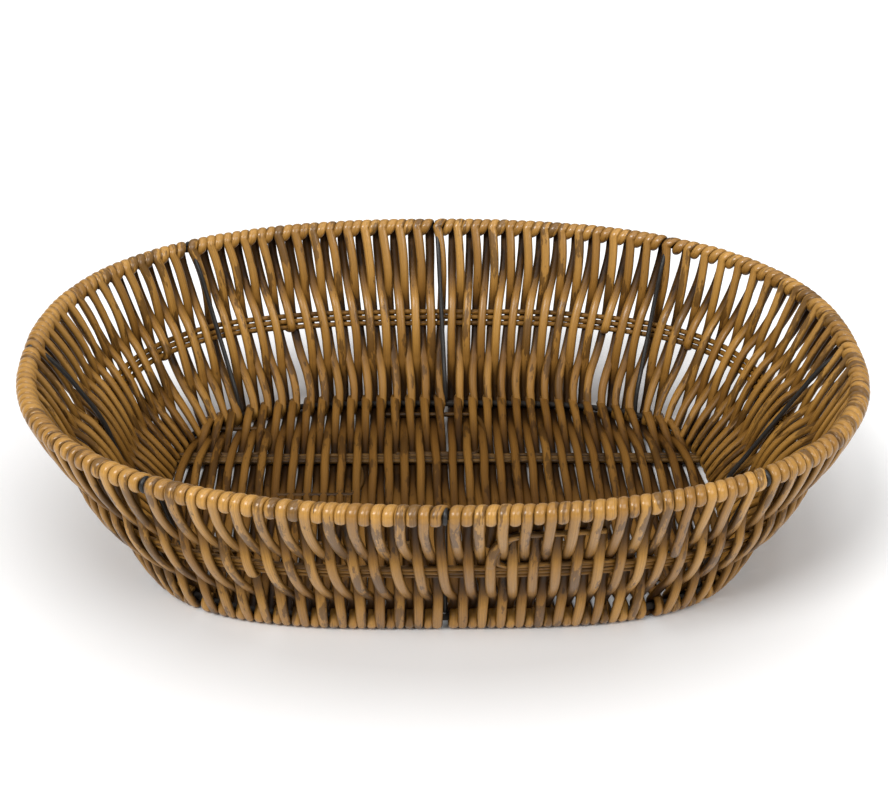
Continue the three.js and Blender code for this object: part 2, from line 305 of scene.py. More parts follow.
# how far the outgoing strand lies outside the middle of the wall, down from the rim
def crossing(fall, rimReach, footReach):
    c1, c2 = strand["firstCrossing"], strand["secondCrossing"]
    band = strand["bandReach"]
    knots = [0, 0.3 * c1, 0.68 * c1, c1, (c1 + waistFall) / 2, waistFall, (c2 + waistFall) / 2, c2,
             c2 + 0.36 * (1 - c2), c2 + 0.75 * (1 - c2), 1]
    rimPart = smoothThrough(fall, knots, [1, 1, 0.62, 0, 0, 0, 0, 0, 0, 0, 0])
    bandPart = smoothThrough(fall, knots, [0, 0, 0, 0, -0.78, -1, -0.78, 0, 0, 0, 0])
    footPart = smoothThrough(fall, knots, [0, 0, 0, 0, 0, 0, 0, 0, 0.62, 0.98, 1])
    return rimPart * rimReach + bandPart * band + footPart * footReach


# how far a strand has gone sideways, as a share of its whole way from rim to foot
def outgoingShare(fall):
    return smoothThrough(fall, [0, 0.1, 0.25, 0.35, 0.45, 0.6, 0.75, 1],
                         [0, 0.01, 0.2, 0.4, 0.62, 0.86, 0.97, 1])


def incomingShare(fall):
    return smoothThrough(fall, [0, 0.3, 0.55, 0.7, 0.82, 0.92, 1], [0, 0.24, 0.5, 0.74, 1.02, 1.1, 1])


# one pair of strands, joined over the rim: from under the foot wire up the outside, one and a half
# turns around the rim wire, then down the inside, and around the foot wire when it goes on as floor
def sideStrands(slots, goesOn):
    count = len(slots)
    outPlace = [placeAt(rimPlaces, slots), placeAt(footPlaces, slots + 1)]
    inPlace = [placeAt(rimPlaces, slots + 1), placeAt(footPlaces, slots + 2)]
    inAtRim = placeAt(rimPlaces, slots + 1.5)
    inAtFoot = placeAt(footPlaces, slots + strand["inAtFoot"])

    def sideways(places):
        top, _, _, _ = onWall(0.0, arcAt(0.0, places[0]))
        bottom, _, _, _ = onWall(1.0, arcAt(1.0, places[1]))
        _, around, _, _ = onWall(0.5, arcAt(0.5, (places[0] + places[1]) / 2))
        return ((bottom - top) * around).sum(-1)[:, None]

    fall = np.linspace(0, 1, strand["wallSteps"])[None]
    rimReach = strand["rimReach"] + dice.uniform(-0.12, 0.12, (count, 1))
    footReach = np.full((count, 1), strand["footReach"])
    quiet = np.clip(np.minimum(fall, 1 - fall) * 6, 0, 1)

    def wallPath(places, share, offset, bend):
        place = places[0][:, None] * (1 - fall) + places[1][:, None] * fall
        arc = arcAt(fall, place) + sideways(places) * (share - fall) + bend
        arc = arc + quiet * strand["unevenPlace"] * wander(count, fall, (0.7, 1.3, 2.1))
        centre, around, outward, _ = onWall(fall, arc)
        offset = offset + quiet * 0.14 * wander(count, fall, (1.1, 1.9, 3.1))
        return centre + outward * offset[..., None], around

    # up the outside: the fall runs from 1 to 0
    outPath, outAround = wallPath(outPlace, outgoingShare(fall), crossing(fall, rimReach, footReach), 0.0)
    outPath, outAround = outPath[:, ::-1], outAround[:, ::-1]

    # around the rim wire; the sideways step is mostly taken underneath, where it doesn't show
    turn = np.linspace(0, 1.5, strand["rimSteps"] + 2)[None, 1:-1]
    lead = (smoothThrough(np.minimum(turn, 1), [0, 0.22, 0.5, 0.8, 1], [0, 0.03, 0.5, 0.98, 1])
            + 0.5 * smoothThrough(np.maximum(turn, 1), [1, 1.2, 1.35, 1.5], [0, 0.05, 0.5, 1]))
    place = placeAt(rimPlaces, slots[:, None] + lead)
    centre, rimAround, outward, up = onWall(0.0, arcAt(0.0, place))
    angle = (turn * 2 * np.pi)[..., None]
    rimPath = centre + rimReach[..., None] * (np.cos(angle) * outward + np.sin(angle) * up)

    # down the inside; the place closes up from the rim's slot to the wall's, then to the foot's
    settle = np.clip(1 - fall / 0.3, 0, 1) ** 2
    arrive = np.clip((fall - 0.72) / 0.28, 0, 1) ** 2
    rimBend = (arcAt(0.0, inAtRim) - arcAt(0.0, inPlace[0]))[:, None] * settle
    footBend = (arcAt(1.0, inAtFoot) - arcAt(1.0, inPlace[1]))[:, None] * arrive
    inPath, inAround = wallPath(inPlace, incomingShare(fall), -crossing(fall, rimReach, footReach),
                                rimBend + footBend)

    # under the foot wire: outgoing strands turn a quarter, incoming ones nearly a whole turn
    def footTurn(slotFrom, slotTo, fromAngle, toAngle, steps):
        t = np.linspace(0, 1, steps)[None]
        place = placeAt(footPlaces, slotFrom[:, None] + (slotTo - slotFrom)[:, None] * t)
        centre, around, outward, _ = onWall(1.0, arcAt(1.0, place))
        level = unit(outward * [1, 1, 0])
        lean = np.arctan2(-outward[..., 2], (outward * level).sum(-1))
        a = fromAngle(lean) + (toAngle(lean) - fromAngle(lean)) * t
        reach = footReach
        path = centre + reach[..., None] * (np.cos(a)[..., None] * level
                                            + np.sin(a)[..., None] * np.array([0, 0, 1.0]))
        return path, around

    quarter, quarterAround = footTurn(slots + 1.0, slots + 1.0, lambda lean: -np.pi / 2 + 0 * lean,
                                      lambda lean: -lean, quarterSteps + 1)
    lastAngle = 2.5 * np.pi if goesOn else 1.5 * np.pi
    lastSlot = slots + (2 + strand["overShift"] if goesOn else strand["tuckedAt"])
    whole, wholeAround = footTurn(slots + strand["inAtFoot"], lastSlot, lambda lean: np.pi - lean,
                                  lambda lean: lastAngle + 0 * lean, strand["footSteps"])
    path = np.concatenate([quarter[:, :-1], outPath, rimPath, inPath, whole[:, 1:]], 1)
    around = np.concatenate([quarterAround[:, :-1], outAround, rimAround, inAround, wholeAround[:, 1:]], 1)

    # strands are squeezed to their places around the wires, and free in between
    def placeWidth(places, fallHere, fill):
        step = arcAt(fallHere, placeAt(places, slots + 1.5)) - arcAt(fallHere, placeAt(places, slots + 0.5))
        return np.clip(step * fill, 3.3, 5.0)[:, None]
    rimWidth = placeWidth(rimPlaces, 0.0, strand["rimFill"])
    footWidth = placeWidth(footPlaces, 1.0, strand["footFill"])
    nearRim = np.clip(1 - fall / 0.16, 0, 1) ** 1.5
    nearFoot = np.clip(1 - (1 - fall) / 0.2, 0, 1) ** 1.5
    wallWidth = (strand["width"] + (rimWidth - strand["width"]) * nearRim
                 + (footWidth - strand["width"]) * nearFoot)
    one = np.ones((1, strand["rimSteps"]))
    cover = crossing(fall, rimReach, footReach)
    # painted shade in the shade column: inner faces darken towards the foot, outer ones a little, the quarter
    # turn under the foot wire is painted at 0.9 and the whole turn around it by the turn's angle
    low = 1 - 0.45 * np.clip((fall - 0.25) / 0.75, 0, 1) ** 1.3 + 0 * cover
    turned = np.linspace(0, 1, whole.shape[1])[None, 1:]
    paintedFootShade = smoothThrough(turned, [0, 0.33, 0.6, 0.75, 1], [0.55, 0.6, 0.95, 0.9, 0.5]) + 0 * rimReach
    lift = np.concatenate([-footReach * one[:, :quarterSteps], -cover[:, ::-1], -rimReach * one, -cover,
                           -footReach * np.ones((1, whole.shape[1] - 1))], 1)
    shade = np.concatenate([0.9 + 0 * one[:, :quarterSteps] * footReach,
                            np.where(cover > 0, 1 - 0.12 * fall, low)[:, ::-1], 1 + 0 * one * rimReach,
                            np.where(cover > 0, low, 1 - 0.12 * fall), paintedFootShade], 1)
    rimTaper = 1 - 0.3 * np.exp(-((turn - 0.73) / 0.1) ** 2)
    footTaper = 1 - 0.22 * np.exp(-((turned - 0.36) / 0.13) ** 2)
    quarterTaper = np.linspace(0.78, 1, quarter.shape[1])[None, :-1] ** 0.7
    width = np.concatenate([footWidth * quarterTaper, wallWidth[:, ::-1], rimWidth * rimTaper,
                            wallWidth, footWidth * footTaper], 1)
    return path, around, width, lift, shade


# width and thickness along each strand: the given width, a little more or less for each strand, and a
# slow wander along it
def strandSizes(count, steps, widths):
    along = np.linspace(0, 1, steps)[None]
    width = widths * (1 + strand["unevenWidth"] * dice.uniform(-1, 1, (count, 1))
                      + 0.025 * wander(count, along, (2.0, 4.3, 7.1)))
    thick = strand["thickness"] * (1 + 0.04 * dice.uniform(-1, 1, (count, 1)))
    return width, np.broadcast_to(thick, (count, steps))


# what every piece needs: its material, its body, and the nodes that it stands for
def finishPiece(piece, material, nodes):
    piece.data.materials.append(material)
    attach(piece, "root")
    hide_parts(*nodes)


# an empty node tree, and a helper that adds a node with its inputs set or linked
def nodeTree(material):
    material.use_nodes = True
    tree = material.node_tree
    tree.nodes.clear()

    def add(kind, inputs=None, **settings):
        node = tree.nodes.new(kind)
        for key, value in settings.items():
            setattr(node, key, value)
        for key, value in (inputs or {}).items():
            if hasattr(value, "links"):
                tree.links.new(value, node.inputs[key])
            else:
                node.inputs[key].default_value = value
        return node
    return tree, add


wicker = {
    "pale": (0.62, 0.322, 0.068, 1),
    "honey": (0.36, 0.17, 0.029, 1),
    "brown": (0.11, 0.05, 0.01, 1),
    "paintedEdgeShade": 0.35,        # painted shade: how much darker a strand is along both edges
    "patchStrength": 0.72,
    "patchLength": 26.0,      # turns of the patch pattern per metre
    "grainAround": 9.0,       # fine lines around the strand
    "roughness": 0.4,
}


# stained wicker: pale and brown patches with ragged edges along each strand, fine lines lengthwise,
# and a tone of its own for each strand; `shade` makes a lighter or darker copy as painted light or shade, and
# the light attribute and the edges add painted shade
def wickerMaterial(name, shade=1.0, patchEdge=0.56, roughness=wicker["roughness"]):
    material = bpy.data.materials.new(name)
    tree, add = nodeTree(material)
    uv = add("ShaderNodeUVMap", uv_map="strand")
    part = add("ShaderNodeSeparateXYZ", {0: uv.outputs[0]})
    seed = add("ShaderNodeAttribute", attribute_name="seed")
    tone = add("ShaderNodeAttribute", attribute_name="tone")
    light = add("ShaderNodeAttribute", attribute_name="light")

    def scaled(value, factor):
        return add("ShaderNodeMath", {0: value, 1: factor}, operation="MULTIPLY").outputs[0]

    # the way around is turned into a circle, so that no seam shows
    turn = scaled(part.outputs[1], 2 * math.pi)
    sine = add("ShaderNodeMath", {0: turn}, operation="SINE").outputs[0]
    cosine = add("ShaderNodeMath", {0: turn}, operation="COSINE").outputs[0]

    def pattern(alongScale, aroundScale, detail, roughness=0.6, shift=0.0):
        along = add("ShaderNodeMath", {0: scaled(part.outputs[0], alongScale),
                                       1: scaled(seed.outputs["Fac"], 7.3)}, operation="ADD").outputs[0]
        along = add("ShaderNodeMath", {0: along, 1: shift}, operation="ADD").outputs[0]
        vector = add("ShaderNodeCombineXYZ", {0: along, 1: scaled(sine, aroundScale),
                                              2: scaled(cosine, aroundScale)})
        return add("ShaderNodeTexNoise", {"Vector": vector.outputs[0], "Scale": 1.0, "Detail": detail,
                                          "Roughness": roughness}).outputs[0]

    patches = pattern(wicker["patchLength"], 0.22, 5.0, 0.68)
    patchRamp = add("ShaderNodeValToRGB", {0: patches})
    patchRamp.color_ramp.elements[0].position = patchEdge - 0.02
    patchRamp.color_ramp.elements[1].position = patchEdge + 0.008
    cloud = pattern(9.0, 0.3, 2.0, 0.5, 31.0)
    grain = pattern(14.0, wicker["grainAround"], 3.0, 0.7, 57.0)
    fleck = pattern(420.0, 3.0, 2.0, 0.6, 11.0)

    toneMix = add("ShaderNodeMapRange", {0: cloud, 1: 0.3, 2: 0.7, 3: -0.25, 4: 0.25})
    toneSum = add("ShaderNodeMath", {0: tone.outputs["Fac"], 1: toneMix.outputs[0]}, operation="ADD",
                  use_clamp=True)
    base = add("ShaderNodeMix", {0: toneSum.outputs[0], 6: wicker["honey"], 7: wicker["pale"]},
               data_type="RGBA")
    patched = add("ShaderNodeMix", {0: scaled(patchRamp.outputs[0], wicker["patchStrength"]),
                                    6: base.outputs[2], 7: wicker["brown"]}, data_type="RGBA")
    # painted light or shade: `shade` scales the whole value
    grainRange = add("ShaderNodeMapRange", {0: grain, 1: 0.3, 2: 0.72, 3: 0.68 * shade, 4: 1.22 * shade})
    fleckRange = add("ShaderNodeMapRange", {0: fleck, 1: 0.35, 2: 0.65, 3: 0.94, 4: 1.05})
    # painted shade along both edges of each strand
    side = add("ShaderNodeMath", {0: cosine}, operation="ABSOLUTE")
    edge = add("ShaderNodeMath", {0: side.outputs[0], 1: 5.0}, operation="POWER")
    edgeRange = add("ShaderNodeMapRange", {0: edge.outputs[0], 1: 0, 2: 1, 3: 1, 4: 1 - wicker["paintedEdgeShade"]})
    value = add("ShaderNodeMath", {0: grainRange.outputs[0], 1: fleckRange.outputs[0]}, operation="MULTIPLY")
    value = add("ShaderNodeMath", {0: value.outputs[0], 1: edgeRange.outputs[0]}, operation="MULTIPLY")

    # painted shade from the light attribute darkens what lies deep, and its green and blue fall off a little
    # faster than its red
    warm = [add("ShaderNodeMath", {0: light.outputs["Fac"], 1: power}, operation="POWER").outputs[0]
            for power in (1.0, 1.1, 1.28)]
    warm = add("ShaderNodeCombineColor", {0: warm[0], 1: warm[1], 2: warm[2]})
    shaded = add("ShaderNodeMix", {0: 1.0, 6: patched.outputs[2], 7: value.outputs[0]}, data_type="RGBA",
                 blend_type="MULTIPLY")
    shaded = add("ShaderNodeMix", {0: 1.0, 6: shaded.outputs[2], 7: warm.outputs[0]}, data_type="RGBA",
                 blend_type="MULTIPLY")
    # painted sheen: the coat's gloss follows the painted light, so only the faces painted bright gleam
    coat = add("ShaderNodeMapRange", {0: light.outputs["Fac"], 1: 0.75, 2: 1.0, 3: 0.0, 4: 0.9})
    rough = add("ShaderNodeMapRange", {0: grain, 1: 0.3, 2: 0.7, 3: roughness + 0.12, 4: roughness - 0.04})
    bump = add("ShaderNodeBump", {"Height": grain, "Strength": 0.35, "Distance": 0.00025})
    shader = add("ShaderNodeBsdfPrincipled", {"Base Color": shaded.outputs[2], "Roughness": rough.outputs[0],
                                              "Normal": bump.outputs[0], "Specular IOR Level": 0.2,
                                              "Coat Weight": coat.outputs[0], "Coat Roughness": 0.25})
    add("ShaderNodeOutputMaterial", {0: shader.outputs[0]})
    return material


# black lacquered steel, slightly uneven in gloss
def wireMaterial(name, pale, rough):
    material = bpy.data.materials.new(name)
    tree, add = nodeTree(material)
    place = add("ShaderNodeTexCoord")
    spots = add("ShaderNodeTexNoise", {"Vector": place.outputs["Object"], "Scale": 900.0, "Detail": 3.0})
    colour = add("ShaderNodeValToRGB", {0: spots.outputs[0]})
    colour.color_ramp.elements[0].color = (0.006, 0.005, 0.004, 1)
    colour.color_ramp.elements[1].color = pale
    rough = add("ShaderNodeMapRange", {0: spots.outputs[0], 3: rough - 0.1, 4: rough + 0.12})
    bump = add("ShaderNodeBump", {"Height": spots.outputs[0], "Strength": 0.25, "Distance": 0.0002})
    shader = add("ShaderNodeBsdfPrincipled", {"Base Color": colour.outputs[0], "Roughness": rough.outputs[0],
                                              "Normal": bump.outputs[0]})
    add("ShaderNodeOutputMaterial", {0: shader.outputs[0]})
    return material


sideWicker = wickerMaterial("sideWicker")
floorWicker = wickerMaterial("floorWicker")
# painted light and shade: the band's copy is painted lighter and the bars' copy darker
litBandWicker = wickerMaterial("litBandWicker", shade=1.1, patchEdge=0.54)
shadedBarWicker = wickerMaterial("shadedBarWicker", shade=0.45, patchEdge=0.54)
blackWire = wireMaterial("blackWire", (0.03, 0.028, 0.026, 1), 0.4)
dullWire = wireMaterial("dullWire", (0.022, 0.013, 0.006, 1), 0.75)


floorSlotsPastRib = 6     # places beyond each corner rib whose strands still run along the floor


# whether a pair's incoming strand goes on as a floor strand: on the long sides, and a few places past
# the corner ribs
def strandGoesOn(slots):
    place = placeAt(footPlaces, slots + 1.5) % 8
    section = np.floor(place)
    perSlot = 1 / wall["slots"][0]
    fromCorner = np.minimum(np.abs(place - 1), np.abs(place - 3))
    fromCorner = np.minimum(fromCorner, np.minimum(np.abs(place - 5), np.abs(place - 7)))
    longSide = np.isin(section, (1, 2, 5, 6))
    return longSide | (fromCorner < floorSlotsPastRib * perSlot)


# a strand's rows are its path, the way around the wall, its width, lift and painted shade; this spreads
# another number of rows evenly over the same course
def restep(rows, steps):
    at = np.linspace(0, len(rows) - 1, steps)
    return np.stack([np.interp(at, np.arange(len(rows)), column) for column in rows.T], -1)


hooks = {
    "pairs": ((3, 3), (2, 9), (1, 2), (0, 11), (5, 3)),   # section and pair of each hooked strand
    "reach": 2.75,            # middle of the lowest band strand to the middle of the hook
    "tip": 0.6,               # how far the hook turns up again on the far side, in radians
    "drift": 2.2,             # how far its tip has gone sideways
    "steps": 16,
    "tailRows": 30,           # rows kept around the foot wire where the floor strand goes on
}
bandLow = waistFall + 0.034


# a strand cut off at the band: it bends around the lowest band strand and ends on the far side.
# The hook is an arc of the given reach in the plane of the wall's normal and its way up
def hookStrand(rows, atStart):
    falls = np.linspace(0, 1, strand["wallSteps"])
    spare = int((falls > bandLow).sum())
    turn = np.linspace(np.pi + hooks["tip"], 0, hooks["steps"])[:, None]
    if atStart:
        kept = rows[quarterSteps + spare:]
        first, up = kept[0], unit(kept[1, :3] - kept[0, :3])
        side = -1
    else:
        kept = rows[:quarterSteps + 2 * strand["wallSteps"] + strand["rimSteps"] - spare]
        first, up = kept[-1], unit(kept[-2, :3] - kept[-1, :3])
        side = 1
    outward = unit(np.cross(first[3:6], up))
    centre = first[:3] - side * hooks["reach"] * outward
    arc = np.repeat(first[None], hooks["steps"], 0)
    arc[:, :3] = (centre + hooks["reach"] * (side * np.cos(turn) * outward - np.sin(turn) * up)
                  + hooks["drift"] * (turn / np.pi) ** 2 * first[3:6])
    # painted shade: the hook is painted at 0.8
    arc[:, 8] = 0.8
    if atStart:
        return restep(np.concatenate([arc[:-1], kept]), len(rows))
    return restep(np.concatenate([kept, arc[-2::-1]]), len(rows))


cutPair = (6, 10)
cutFall = 0.42


# a strand cut off on the outside, just above the band: the rows above the cut, moved out to the rim's reach
def cutStrand(rows):
    falls = np.linspace(1, 0, strand["wallSteps"])
    rows = rows[quarterSteps + int((falls > cutFall).sum()):].copy()
    wallPart = int((falls <= cutFall).sum())
    fall = falls[-wallPart:]
    upward = unit(np.gradient(rows[:wallPart, :3], axis=0))
    outward = unit(np.cross(rows[:wallPart, 3:6], upward))
    reach = np.full(wallPart, strand["rimReach"])
    rows[:wallPart, :3] += outward * (reach - crossing(fall, reach, reach))[:, None]
    # the lift, which here only sets painted shade, is that of a strand around the rim wire
    rows[:wallPart, 7] = -strand["rimReach"]
    return rows


# a strand that lies level under the rim, between both layers, and then bends down into a lane of the wall
curl = {
    "pair": (6, 1),
    "ways": (0, 0.35, 0.6, 0.75, 0.85, 0.93, 1),
    "falls": (0.175, 0.175, 0.182, 0.215, 0.275, 0.345, 0.42),
    "aside": (48, 24, 10.5, 4.2, 1.0, 0.1, 0),      # along the wall, from the lane it bends into
    "outward": (0, 0, 0.4, 1.2, 2.2, 2.7, 2.75),
    "bandFalls": (0.2, 0.27, 0.36, 0.425, 0.45, 0.452, 0.452),   # the band's own end makes a smaller loop
    "bandAside": (8.0, 4.4, 2.6, 4.4, 10, 22, 58),
    "bandOutward": (0.2, 1.2, 1.6, 1.3, 0.7, 0.1, 0),
    "steps": 60,
    "thinWidth": 3.2,        # of the level stretch
    "cutBelow": 0.3,         # the fall at which the lane's own strand is cut off, behind
    "looseSteps": 150,
}


# smooth curves of fall, way along the wall and way outward, all through the same knots
def curlPath(lanePlace, falls, aside, away):
    way = np.linspace(0, 1, curl["steps"])
    fall, along, off = (smoothThrough(way, curl["ways"], values) for values in (falls, aside, away))
    frontMiddle = 0.75 * np.interp(fall, ovals["falls"], ovals["length"])
    centre, around, outward, up = onWall(fall, frontMiddle + lanePlace + along)
    return centre + outward * off[:, None], outward


# how far round from the middle of the front a point lies, at its own fall
def pastFrontMiddle(fall, point):
    length = float(np.interp(fall, ovals["falls"], ovals["length"]))
    arcs = np.linspace(0, length, 6001)
    return arcs[np.argmin(np.linalg.norm(onWall(fall, arcs)[0] - point, axis=1))] - 0.75 * length


looseRows = []
firstSlot = 0
for section in range(8):
    count = wall["slots"][section]
    slots = np.arange(firstSlot, firstSlot + count, 2).astype(float)
    firstSlot += count
    goes = strandGoesOn(slots)
    groups = []
    for flag in (True, False):
        if (goes == flag).any():
            groups.append(sideStrands(slots[goes == flag], flag))
    rows = np.concatenate([np.concatenate([g[0], g[1], np.stack(g[2:], -1)], -1) for g in groups])
    order = np.concatenate([slots[goes], slots[~goes]])
    for where, pair in hooks["pairs"]:
        if where == section:
            i = int(np.argmin(np.abs(order - slots[pair])))
            if section > 3:
                looseRows.append(rows[i, -hooks["tailRows"]:].copy())
            rows[i] = hookStrand(rows[i], section <= 3)
    if section == cutPair[0]:
        i = int(np.argmin(np.abs(order - slots[cutPair[1]])))
        rows[i] = restep(cutStrand(rows[i]), rows.shape[1])
    if section == curl["pair"][0]:
        i = int(np.argmin(np.abs(order - slots[curl["pair"][1]])))
        falls = np.linspace(0, 1, strand["wallSteps"])
        wallStart = quarterSteps + strand["wallSteps"] + strand["rimSteps"]
        lane = rows[i, wallStart + int((falls < curl["falls"][-1]).sum()):].copy()
        lanePlace = pastFrontMiddle(curl["falls"][-1], lane[0, :3])
        bend, outward = curlPath(lanePlace, curl["falls"], curl["aside"], curl["outward"])
        bendRows = np.repeat(lane[:1], curl["steps"] - 1, 0)
        bendRows[:, :3] = bend[:-1]
        tangent = unit(np.gradient(bend, axis=0))[:-1]
        bendRows[:, 3:6] = np.cross(tangent, outward[:-1])
        size = np.linspace(0, 1, curl["steps"] - 1)
        thin = curl["thinWidth"]
        bendRows[:, 6] = thin + (lane[0, 6] - thin) * np.clip((size - 0.45) / 0.4, 0, 1)
        # painted shade: the level stretch is painted at 0.85, with a lift that grows along it
        bendRows[:, 7], bendRows[:, 8] = -1.5 - 1.2 * size, 0.85
        if bendRows[-1, 3:6] @ lane[0, 3:6] < 0:
            lane[:, 3:6] *= -1
            lane[:, 7] *= -1
        looseRows.append(np.concatenate([bendRows, lane]))
        cutRow = wallStart + int((falls < curl["cutBelow"]).sum())
        rows[i] = restep(rows[i, :cutRow], rows.shape[1])
    path, around = rows[..., :3], rows[..., 3:6]
    widths, lift, shade = rows[..., 6], rows[..., 7], rows[..., 8]
    width, thick = strandSizes(len(path), path.shape[1], widths)
    piece = sweepStrands(f"side_strands_{section + 1}", path, around, width, thick,
                         dice.uniform(0, 100, len(path)), dice.uniform(0.1, 0.9, len(path)), lift, shade)
    finishPiece(piece, sideWicker, [f"side_weave_{section + 1}"])
    print("side strands", section + 1, len(path), "tris", len(piece.data.polygons) * 2)


# loose ends: strands that start or stop within the wall
looseRows = np.stack([restep(rows, curl["looseSteps"]) for rows in looseRows])
width, thick = strandSizes(len(looseRows), curl["looseSteps"], looseRows[..., 6])
thick = np.minimum(thick, width * 0.72)
loosePiece = sweepStrands("loose_strands", looseRows[..., :3], looseRows[..., 3:6], width, thick,
                          dice.uniform(0, 100, len(looseRows)), [0.5] * len(looseRows),
                          looseRows[..., 7], looseRows[..., 8])
finishPiece(loosePiece, sideWicker, ["side_weave_6", "side_weave_7"])
# painted shade: the band's loop is painted at 0.8, with lift -1.8
loop, outward = curlPath(lanePlace, curl["bandFalls"], curl["bandAside"], curl["bandOutward"])
loopPiece = sweepStrands("band_loop", loop[None], np.cross(unit(np.gradient(loop, axis=0)), outward)[None],
                         2.7, 2.4, [12.0], [0.4], -1.8, 0.8, sides=10)
finishPiece(loopPiece, sideWicker, ["band_strand_1"])
print("loose ends", len(looseRows) + 1)


floor = {
    "barOffset": 42.0,
    "barReach": 2.75,
    "middlePitch": 4.08,
    "width": 4.6,
    "steps": 90,
    # painted shade: the floor strands are painted darker, as the floor lies in shade
    "shade": 0.4,
}
floorBox = [np.array(corner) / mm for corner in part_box("floor_weave")]
floorMiddle = (floorBox[0][2] + floorBox[1][2]) / 2


# strands from the back foot wire to the front one. t runs from 1 at the back to -1 at the front; the
# height swings over and under the bars, and the strands near the ends bow outwards in the middle
def floorStrands():
    backSlots = np.arange(slotCount // 2)
    places = placeAt(footPlaces, backSlots)
    perSlot = 1 / wall["slots"][0]
    slots = backSlots[(places > 1 - floorSlotsPastRib * perSlot) & (places < 3 + floorSlotsPastRib * perSlot)]
    fromMiddle = slotCount / 4 - 0.5 - slots
    xMiddle = fromMiddle * floor["middlePitch"]

    over = slots % 2 == 0      # the back ends of these come over the wire, and those of the others under it
    shift = strand["overShift"]
    backSlot = np.where(over, slots + shift, slots)
    frontSlot = np.where(over, slotCount - 1 - slots, slotCount - 1 - slots + shift)
    back, _, _, _ = onWall(1.0, arcAt(1.0, placeAt(footPlaces, backSlot)))
    front, _, _, _ = onWall(1.0, arcAt(1.0, placeAt(footPlaces, frontSlot)))

    t = np.linspace(1, -1, floor["steps"])[None]
    y = np.where(t > 0, back[:, 1:2] * t, -front[:, 1:2] * t)
    endX = np.where(t > 0, back[:, 0:1], front[:, 0:1])
    x = xMiddle[:, None] + (endX - xMiddle[:, None]) * np.abs(t) ** 2.5
    x = x + 0.25 * (1 - np.abs(t) ** 4) * wander(len(slots), t, (0.8, 1.4, 2.3))

    reach = strand["footReach"]
    wire = footSize[2]
    low, high = floorMiddle - floor["barReach"], floorMiddle + floor["barReach"]
    z = np.empty_like(x)
    for i in range(len(slots)):
        yb, yf, bar = back[i, 1], front[i, 1], floor["barOffset"]
        bar = min(bar, 0.62 * yb, -0.62 * yf)
        knots = [yf, yf * 0.93, (yf - bar) / 2, -bar, 0, bar, (yb + bar) / 2, yb * 0.93, yb]
        up = [wire + reach, wire + reach - 0.2, floorMiddle, low, floorMiddle, high, floorMiddle,
              wire - reach + 0.2, wire - reach]
        if over[i]:
            up = [wire - reach, wire - reach + 0.2, floorMiddle, high, floorMiddle, low, floorMiddle,
                  wire + reach - 0.2, wire + reach]
        z[i] = smoothThrough(y[i], knots, up)
    path = np.stack([x, y, z], -1)
    broad = np.broadcast_to(np.array([1.0, 0, 0]), path.shape)
    return path, broad, z - floorMiddle


path, broad, lift = floorStrands()
evenWidth = floor["width"] * (0.92 + 0.08 * np.abs(lift) / np.abs(lift).max())    # less where strands cross
width, thick = strandSizes(len(path), path.shape[1], evenWidth)
# painted shade: the lift darkens the faces of the lower strands, and the floor shade darkens them all
floorPiece = sweepStrands("floor_strands", path, broad, width, thick, dice.uniform(0, 100, len(path)),
                          dice.uniform(0.1, 0.9, len(path)), lift, floor["shade"])
finishPiece(floorPiece, floorWicker, ["floor_weave"])
print("floor strands", len(path), "tris", len(floorPiece.data.polygons) * 2)


# rings that follow the wall all round: an even arc at one fall, with a slow wander
def ringPath(fall, steps, uneven):
    share = np.arange(steps) / steps
    length = np.interp(fall, ovals["falls"], ovals["length"])
    centre, around, outward, up = onWall(fall, (share * length)[None])
    turns = share[None]
    rise = uneven * wander(1, turns, (5, 11, 17))
    out = uneven * 0.5 * wander(1, turns, (7, 13, 19))
    return centre + up * rise[..., None] + outward * out[..., None], up


band = {
    "width": 2.7,
    "thickness": 2.5,
    "steps": 720,
    "uneven": 0.22,
}
bandRings = []
for i in range(3):
    low, high = (np.array(corner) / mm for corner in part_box(f"band_strand_{i + 1}"))
    fallHere = (rimSize[2] - (low[2] + high[2]) / 2) / rise
    bandRings.append(ringPath(fallHere, band["steps"], band["uneven"]))
bandPiece = sweepStrands("band_strands", np.concatenate([r[0] for r in bandRings]),
                         np.concatenate([r[1] for r in bandRings]), band["width"], band["thickness"],
                         dice.uniform(0, 100, 3), [0.3, 0.55, 0.4], closed=True, sides=10)
finishPiece(bandPiece, litBandWicker, [f"band_strand_{i + 1}" for i in range(3)])

barPaths = []
for i in range(6):
    low, high = (np.array(corner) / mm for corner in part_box(f"bar_strand_{i + 1}"))
    t = np.linspace(-1, 1, 90)[None]
    reachX = (high[0] - low[0]) / 2 + 2.5
    x = reachX * t
    y = (low[1] + high[1]) / 2 + 0.2 * wander(1, t, (1.5, 2.7, 4.1)) + 0 * t
    z = (low[2] + high[2]) / 2 + 0.12 * wander(1, t, (2.2, 3.1, 5.3)) + 0 * t
    barPaths.append(np.stack([x, y, z], -1))
barPaths = np.concatenate(barPaths)
barPiece = sweepStrands("bar_strands", barPaths, np.broadcast_to([0, 1.0, 0], barPaths.shape),
                        band["width"], band["thickness"],
                        dice.uniform(0, 100, 6), dice.uniform(0.2, 0.6, 6), sides=10)
finishPiece(barPiece, shadedBarWicker, [f"bar_strand_{i + 1}" for i in range(6)])

# ends of bar strands that turn back over the floor: where the turn lies along the bar, how far it
# reaches across the floor, and how long the end is
barLoops = ((17.0, 88.0, 46.0), (-96.0, 73.0, 20.0), (-47.0, 5.0, 38.0))
barLoop = {
    "run": 40.0,              # how much of the loop lies along the bar
    "beside": 3.8,            # from the middle of the bar
    "bulge": 7.0,
    "rise": 0.7,              # above the middle of the floor
    "width": 2.6,
    "thickness": 2.4,
}


